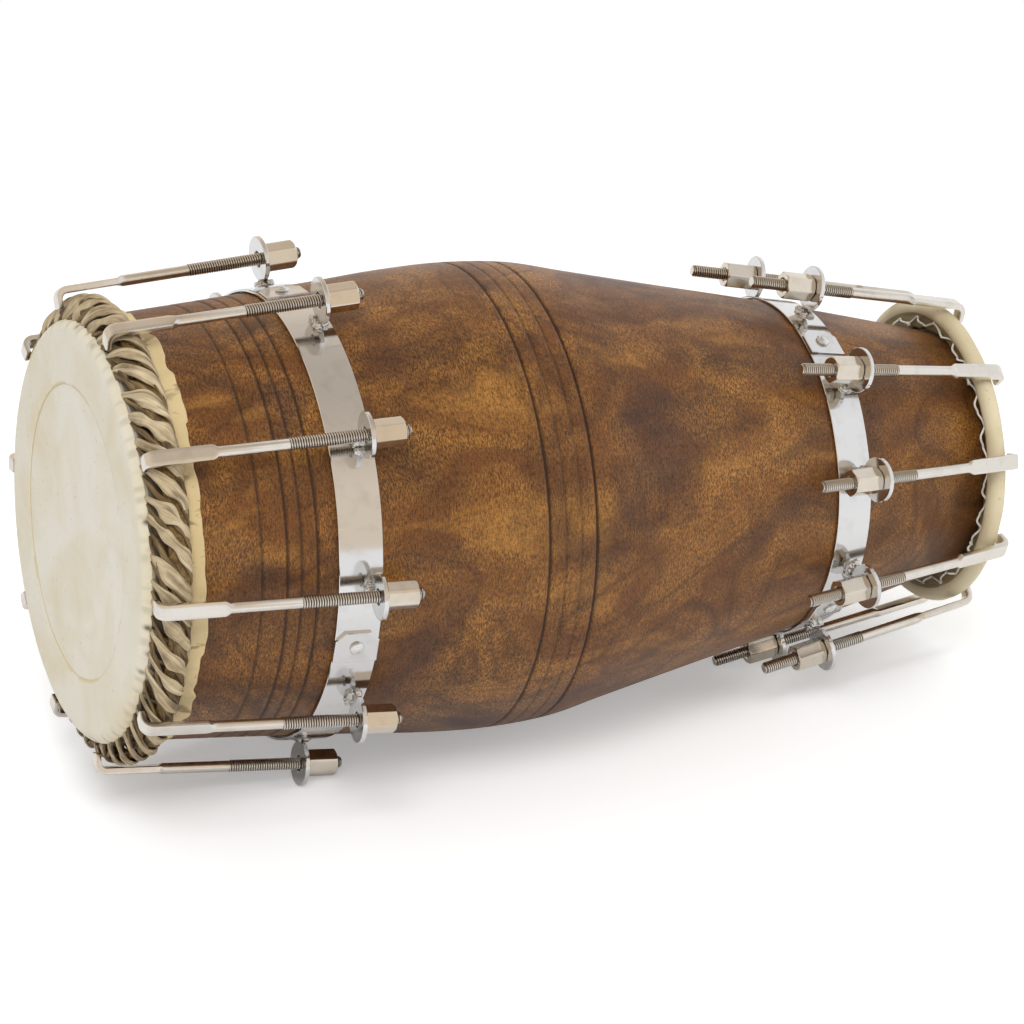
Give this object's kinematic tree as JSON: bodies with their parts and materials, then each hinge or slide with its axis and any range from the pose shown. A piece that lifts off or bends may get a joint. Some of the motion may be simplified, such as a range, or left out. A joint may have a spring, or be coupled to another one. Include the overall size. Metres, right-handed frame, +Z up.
{
  "type": "naal drum",
  "caption": "Double-headed wooden barrel drum lying on its side, with laced bass hoop, ring-tensioned treble head and hook-bolt tuning.",
  "frame": {"origin": "bottom centre of the bounding box, on the surface the drum lies on", "axes": "+X along the drum from the bass head to the treble head, +Z up, -Y the side seen first; the shell axis leans a few degrees so that lugs of both bands touch the ground"},
  "size_m": [0.4948, 0.2762, 0.2666],
  "materials": {
    "hardwood": "satin varnished, figured",
    "rawhide": "matt goatskin",
    "rawhide_thong": "matt, twisted",
    "cane": "bare",
    "oil_paste": "matt",
    "iron_paste": "matt, polished by stone",
    "plated_band_steel": "bright plated, hand polished",
    "nickel_plated_steel": "warm nickel plate"
  },
  "bodies": {
    "drum": {"bass_band": "plated_band_steel", "bass_band_rivet_1": "plated_band_steel", "bass_band_rivet_2": "plated_band_steel", "bass_band_rivet_3": "plated_band_steel", "bass_head_skin": "rawhide", "bass_hoop": "cane", "bass_inner_paste": "oil_paste", "bass_kinar_layer": "rawhide", "bass_lacing": "rawhide_thong", "shell": "hardwood", "treble_band": "plated_band_steel", "treble_band_rivet_1": "plated_band_steel", "treble_band_rivet_2": "plated_band_steel", "treble_band_rivet_3": "plated_band_steel", "treble_head_skin": "rawhide", "treble_iron_ring": "plated_band_steel", "treble_syahi": "iron_paste"},
    "bass_nut_01": {"bass_nut_01": "nickel_plated_steel"},
    "bass_hook_bolt_01": {"bass_hook_bolt_01": "nickel_plated_steel"},
    "bass_nut_02": {"bass_nut_02": "nickel_plated_steel"},
    "bass_hook_bolt_02": {"bass_hook_bolt_02": "nickel_plated_steel"},
    "bass_nut_03": {"bass_nut_03": "nickel_plated_steel"},
    "bass_hook_bolt_03": {"bass_hook_bolt_03": "nickel_plated_steel"},
    "bass_nut_04": {"bass_nut_04": "nickel_plated_steel"},
    "bass_hook_bolt_04": {"bass_hook_bolt_04": "nickel_plated_steel"},
    "bass_nut_05": {"bass_nut_05": "nickel_plated_steel"},
    "bass_hook_bolt_05": {"bass_hook_bolt_05": "nickel_plated_steel"},
    "bass_nut_06": {"bass_nut_06": "nickel_plated_steel"},
    "bass_hook_bolt_06": {"bass_hook_bolt_06": "nickel_plated_steel"},
    "bass_nut_07": {"bass_nut_07": "nickel_plated_steel"},
    "bass_hook_bolt_07": {"bass_hook_bolt_07": "nickel_plated_steel"},
    "bass_nut_08": {"bass_nut_08": "nickel_plated_steel"},
    "bass_hook_bolt_08": {"bass_hook_bolt_08": "nickel_plated_steel"},
    "bass_nut_09": {"bass_nut_09": "nickel_plated_steel"},
    "bass_hook_bolt_09": {"bass_hook_bolt_09": "nickel_plated_steel"},
    "bass_nut_10": {"bass_nut_10": "nickel_plated_steel"},
    "bass_hook_bolt_10": {"bass_hook_bolt_10": "nickel_plated_steel"},
    "treble_nut_01": {"treble_nut_01": "nickel_plated_steel"},
    "treble_hook_bolt_01": {"treble_hook_bolt_01": "nickel_plated_steel"},
    "treble_nut_02": {"treble_nut_02": "nickel_plated_steel"},
    "treble_hook_bolt_02": {"treble_hook_bolt_02": "nickel_plated_steel"},
    "treble_nut_03": {"treble_nut_03": "nickel_plated_steel"},
    "treble_hook_bolt_03": {"treble_hook_bolt_03": "nickel_plated_steel"},
    "treble_nut_04": {"treble_nut_04": "nickel_plated_steel"},
    "treble_hook_bolt_04": {"treble_hook_bolt_04": "nickel_plated_steel"},
    "treble_nut_05": {"treble_nut_05": "nickel_plated_steel"},
    "treble_hook_bolt_05": {"treble_hook_bolt_05": "nickel_plated_steel"},
    "treble_nut_06": {"treble_nut_06": "nickel_plated_steel"},
    "treble_hook_bolt_06": {"treble_hook_bolt_06": "nickel_plated_steel"},
    "treble_nut_07": {"treble_nut_07": "nickel_plated_steel"},
    "treble_hook_bolt_07": {"treble_hook_bolt_07": "nickel_plated_steel"},
    "treble_nut_08": {"treble_nut_08": "nickel_plated_steel"},
    "treble_hook_bolt_08": {"treble_hook_bolt_08": "nickel_plated_steel"},
    "treble_nut_09": {"treble_nut_09": "nickel_plated_steel"},
    "treble_hook_bolt_09": {"treble_hook_bolt_09": "nickel_plated_steel"},
    "treble_nut_10": {"treble_nut_10": "nickel_plated_steel"},
    "treble_hook_bolt_10": {"treble_hook_bolt_10": "nickel_plated_steel"}
  },
  "joints": [
    {"name": "bass_nut_01_turn", "type": "hinge", "parent": "drum", "child": "bass_nut_01", "pos_m": [-0.12134, -0.031, 0.25507], "axis": [0.9998, -0.0198, 0.004], "range_deg": [0, 1800]},
    {"name": "bass_hook_bolt_01_slide", "type": "slide", "parent": "drum", "child": "bass_hook_bolt_01", "axis": [-0.9998, 0.0198, -0.004], "range_m": [0, 0.00635]},
    {"name": "bass_nut_02_turn", "type": "hinge", "parent": "drum", "child": "bass_nut_02", "pos_m": [-0.12459, -0.099, 0.21154], "axis": [0.9977, -0.063, -0.0237], "range_deg": [0, 1800]},
    {"name": "bass_hook_bolt_02_slide", "type": "slide", "parent": "drum", "child": "bass_hook_bolt_02", "axis": [-0.9977, 0.063, 0.0237], "range_m": [0, 0.00635]},
    {"name": "bass_nut_03_turn", "type": "hinge", "parent": "drum", "child": "bass_nut_03", "pos_m": [-0.1299, -0.1267, 0.14033], "axis": [0.9944, -0.0807, -0.069], "range_deg": [0, 1800]},
    {"name": "bass_hook_bolt_03_slide", "type": "slide", "parent": "drum", "child": "bass_hook_bolt_03", "axis": [-0.9944, 0.0807, 0.069], "range_m": [0, 0.00635]},
    {"name": "bass_nut_04_turn", "type": "hinge", "parent": "drum", "child": "bass_nut_04", "pos_m": [-0.13527, -0.10955, 0.06827], "axis": [0.9909, -0.0697, -0.1148], "range_deg": [0, 1800]},
    {"name": "bass_hook_bolt_04_slide", "type": "slide", "parent": "drum", "child": "bass_hook_bolt_04", "axis": [-0.9909, 0.0697, 0.1148], "range_m": [0, 0.00635]},
    {"name": "bass_nut_05_turn", "type": "hinge", "parent": "drum", "child": "bass_nut_05", "pos_m": [-0.1395, -0.03825, 0.01151], "axis": [0.9882, -0.0244, -0.151], "range_deg": [0, 1800]},
    {"name": "bass_hook_bolt_05_slide", "type": "slide", "parent": "drum", "child": "bass_hook_bolt_05", "axis": [-0.9882, 0.0244, 0.151], "range_m": [0, 0.00635]},
    {"name": "bass_nut_06_turn", "type": "hinge", "parent": "drum", "child": "bass_nut_06", "pos_m": [-0.1395, 0.03834, 0.01151], "axis": [0.9882, 0.0244, -0.151], "range_deg": [0, 1800]},
    {"name": "bass_hook_bolt_06_slide", "type": "slide", "parent": "drum", "child": "bass_hook_bolt_06", "axis": [-0.9882, -0.0244, 0.151], "range_m": [0, 0.00635]},
    {"name": "bass_nut_07_turn", "type": "hinge", "parent": "drum", "child": "bass_nut_07", "pos_m": [-0.13659, 0.09712, 0.0506], "axis": [0.9901, 0.0618, -0.1261], "range_deg": [0, 1800]},
    {"name": "bass_hook_bolt_07_slide", "type": "slide", "parent": "drum", "child": "bass_hook_bolt_07", "axis": [-0.9901, -0.0618, 0.1261], "range_m": [0, 0.00635]},
    {"name": "bass_nut_08_turn", "type": "hinge", "parent": "drum", "child": "bass_nut_08", "pos_m": [-0.13121, 0.12668, 0.12266], "axis": [0.9935, 0.0806, -0.0802], "range_deg": [0, 1800]},
    {"name": "bass_hook_bolt_08_slide", "type": "slide", "parent": "drum", "child": "bass_hook_bolt_08", "axis": [-0.9935, -0.0806, 0.0802], "range_m": [0, 0.00635]},
    {"name": "bass_nut_09_turn", "type": "hinge", "parent": "drum", "child": "bass_nut_09", "pos_m": [-0.12557, 0.10839, 0.19834], "axis": [0.9971, 0.069, -0.0321], "range_deg": [0, 1800]},
    {"name": "bass_hook_bolt_09_slide", "type": "slide", "parent": "drum", "child": "bass_hook_bolt_09", "axis": [-0.9971, -0.069, 0.0321], "range_m": [0, 0.00635]},
    {"name": "bass_nut_10_turn", "type": "hinge", "parent": "drum", "child": "bass_nut_10", "pos_m": [-0.12191, 0.05301, 0.24737], "axis": [0.9994, 0.0337, -0.0009], "range_deg": [0, 1800]},
    {"name": "bass_hook_bolt_10_slide", "type": "slide", "parent": "drum", "child": "bass_hook_bolt_10", "axis": [-0.9994, -0.0337, 0.0009], "range_m": [0, 0.00635]},
    {"name": "treble_nut_01_turn", "type": "hinge", "parent": "drum", "child": "treble_nut_01", "pos_m": [0.15717, -0.00775, 0.21119], "axis": [-0.9675, -0.014, 0.2523], "range_deg": [0, 1800]},
    {"name": "treble_hook_bolt_01_slide", "type": "slide", "parent": "drum", "child": "treble_hook_bolt_01", "axis": [0.9675, 0.014, -0.2523], "range_m": [0, 0.00635]},
    {"name": "treble_nut_02_turn", "type": "hinge", "parent": "drum", "child": "treble_nut_02", "pos_m": [0.1554, -0.06523, 0.18744], "axis": [-0.9707, -0.1172, 0.2097], "range_deg": [0, 1800]},
    {"name": "treble_hook_bolt_02_slide", "type": "slide", "parent": "drum", "child": "treble_hook_bolt_02", "axis": [0.9707, 0.1172, -0.2097], "range_m": [0, 0.00635]},
    {"name": "treble_nut_03_turn", "type": "hinge", "parent": "drum", "child": "treble_nut_03", "pos_m": [0.15186, -0.09615, 0.14006], "axis": [-0.9771, -0.1727, 0.1246], "range_deg": [0, 1800]},
    {"name": "treble_hook_bolt_03_slide", "type": "slide", "parent": "drum", "child": "treble_hook_bolt_03", "axis": [0.9771, 0.1727, -0.1246], "range_m": [0, 0.00635]},
    {"name": "treble_nut_04_turn", "type": "hinge", "parent": "drum", "child": "treble_nut_04", "pos_m": [0.1475, -0.09579, 0.08151], "axis": [-0.9849, -0.172, 0.0195], "range_deg": [0, 1800]},
    {"name": "treble_hook_bolt_04_slide", "type": "slide", "parent": "drum", "child": "treble_hook_bolt_04", "axis": [0.9849, 0.172, -0.0195], "range_m": [0, 0.00635]},
    {"name": "treble_nut_05_turn", "type": "hinge", "parent": "drum", "child": "treble_nut_05", "pos_m": [0.14367, -0.05876, 0.03021], "axis": [-0.9918, -0.1056, -0.0726], "range_deg": [0, 1800]},
    {"name": "treble_hook_bolt_05_slide", "type": "slide", "parent": "drum", "child": "treble_hook_bolt_05", "axis": [0.9918, 0.1056, 0.0726], "range_m": [0, 0.00635]},
    {"name": "treble_nut_06_turn", "type": "hinge", "parent": "drum", "child": "treble_nut_06", "pos_m": [0.14228, -0.00722, 0.01151], "axis": [-0.9943, -0.013, -0.1061], "range_deg": [0, 1800]},
    {"name": "treble_hook_bolt_06_slide", "type": "slide", "parent": "drum", "child": "treble_hook_bolt_06", "axis": [0.9943, 0.013, 0.1061], "range_m": [0, 0.00635]},
    {"name": "treble_nut_07_turn", "type": "hinge", "parent": "drum", "child": "treble_nut_07", "pos_m": [0.14379, 0.06095, 0.03178], "axis": [-0.9916, 0.1094, -0.0697], "range_deg": [0, 1800]},
    {"name": "treble_hook_bolt_07_slide", "type": "slide", "parent": "drum", "child": "treble_hook_bolt_07", "axis": [0.9916, -0.1094, 0.0697], "range_m": [0, 0.00635]},
    {"name": "treble_nut_08_turn", "type": "hinge", "parent": "drum", "child": "treble_nut_08", "pos_m": [0.14758, 0.09623, 0.08268], "axis": [-0.9847, 0.1727, 0.0216], "range_deg": [0, 1800]},
    {"name": "treble_hook_bolt_08_slide", "type": "slide", "parent": "drum", "child": "treble_hook_bolt_08", "axis": [0.9847, -0.1727, -0.0216], "range_m": [0, 0.00635]},
    {"name": "treble_nut_09_turn", "type": "hinge", "parent": "drum", "child": "treble_nut_09", "pos_m": [0.1522, 0.09477, 0.14454], "axis": [-0.9765, 0.1701, 0.1327], "range_deg": [0, 1800]},
    {"name": "treble_hook_bolt_09_slide", "type": "slide", "parent": "drum", "child": "treble_hook_bolt_09", "axis": [0.9765, -0.1701, -0.1327], "range_m": [0, 0.00635]},
    {"name": "treble_nut_10_turn", "type": "hinge", "parent": "drum", "child": "treble_nut_10", "pos_m": [0.15597, 0.05509, 0.1951], "axis": [-0.9697, 0.0988, 0.2235], "range_deg": [0, 1800]},
    {"name": "treble_hook_bolt_10_slide", "type": "slide", "parent": "drum", "child": "treble_hook_bolt_10", "axis": [0.9697, -0.0988, -0.2235], "range_m": [0, 0.00635]}
  ],
  "couplings": [
    {"joint": "bass_nut_01_turn", "follows": "bass_hook_bolt_01_slide", "rad_per_m": 4947.4},
    {"joint": "bass_nut_02_turn", "follows": "bass_hook_bolt_02_slide", "rad_per_m": 4947.4},
    {"joint": "bass_nut_03_turn", "follows": "bass_hook_bolt_03_slide", "rad_per_m": 4947.4},
    {"joint": "bass_nut_04_turn", "follows": "bass_hook_bolt_04_slide", "rad_per_m": 4947.4},
    {"joint": "bass_nut_05_turn", "follows": "bass_hook_bolt_05_slide", "rad_per_m": 4947.4},
    {"joint": "bass_nut_06_turn", "follows": "bass_hook_bolt_06_slide", "rad_per_m": 4947.4},
    {"joint": "bass_nut_07_turn", "follows": "bass_hook_bolt_07_slide", "rad_per_m": 4947.4},
    {"joint": "bass_nut_08_turn", "follows": "bass_hook_bolt_08_slide", "rad_per_m": 4947.4},
    {"joint": "bass_nut_09_turn", "follows": "bass_hook_bolt_09_slide", "rad_per_m": 4947.4},
    {"joint": "bass_nut_10_turn", "follows": "bass_hook_bolt_10_slide", "rad_per_m": 4947.4},
    {"joint": "treble_nut_01_turn", "follows": "treble_hook_bolt_01_slide", "rad_per_m": 4947.4},
    {"joint": "treble_nut_02_turn", "follows": "treble_hook_bolt_02_slide", "rad_per_m": 4947.4},
    {"joint": "treble_nut_03_turn", "follows": "treble_hook_bolt_03_slide", "rad_per_m": 4947.4},
    {"joint": "treble_nut_04_turn", "follows": "treble_hook_bolt_04_slide", "rad_per_m": 4947.4},
    {"joint": "treble_nut_05_turn", "follows": "treble_hook_bolt_05_slide", "rad_per_m": 4947.4},
    {"joint": "treble_nut_06_turn", "follows": "treble_hook_bolt_06_slide", "rad_per_m": 4947.4},
    {"joint": "treble_nut_07_turn", "follows": "treble_hook_bolt_07_slide", "rad_per_m": 4947.4},
    {"joint": "treble_nut_08_turn", "follows": "treble_hook_bolt_08_slide", "rad_per_m": 4947.4},
    {"joint": "treble_nut_09_turn", "follows": "treble_hook_bolt_09_slide", "rad_per_m": 4947.4},
    {"joint": "treble_nut_10_turn", "follows": "treble_hook_bolt_10_slide", "rad_per_m": 4947.4}
  ]
}
